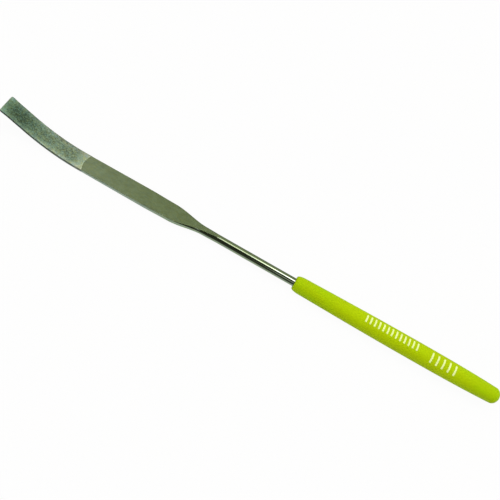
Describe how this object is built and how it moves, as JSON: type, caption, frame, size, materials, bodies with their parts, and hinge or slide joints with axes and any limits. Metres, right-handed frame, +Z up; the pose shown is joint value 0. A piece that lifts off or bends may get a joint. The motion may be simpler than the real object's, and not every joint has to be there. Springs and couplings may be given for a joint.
{
  "type": "diamond file",
  "caption": "Slim diamond file with a flat coated blade whose tip bends up, a round shank and a soft plastic grip.",
  "frame": {"origin": "bottom centre of the bounding box, on the surface that the file lies on", "axes": "+X along the file from the tip to the end of the grip, +Y across the blade, +Z up, the way the tip curls"},
  "size_m": [0.1802, 0.0066, 0.0081],
  "materials": {
    "ground_steel": "ground flats with fine grinding lines, bright drawn shank",
    "diamond_grit": "matte, grainy electroplated layer with grit standing proud",
    "soft_plastic": "smooth satin soft plastic"
  },
  "bodies": {
    "root": {"steel_blank": "ground_steel", "diamond_coating": "diamond_grit", "grip": "soft_plastic"}
  },
  "joints": []
}
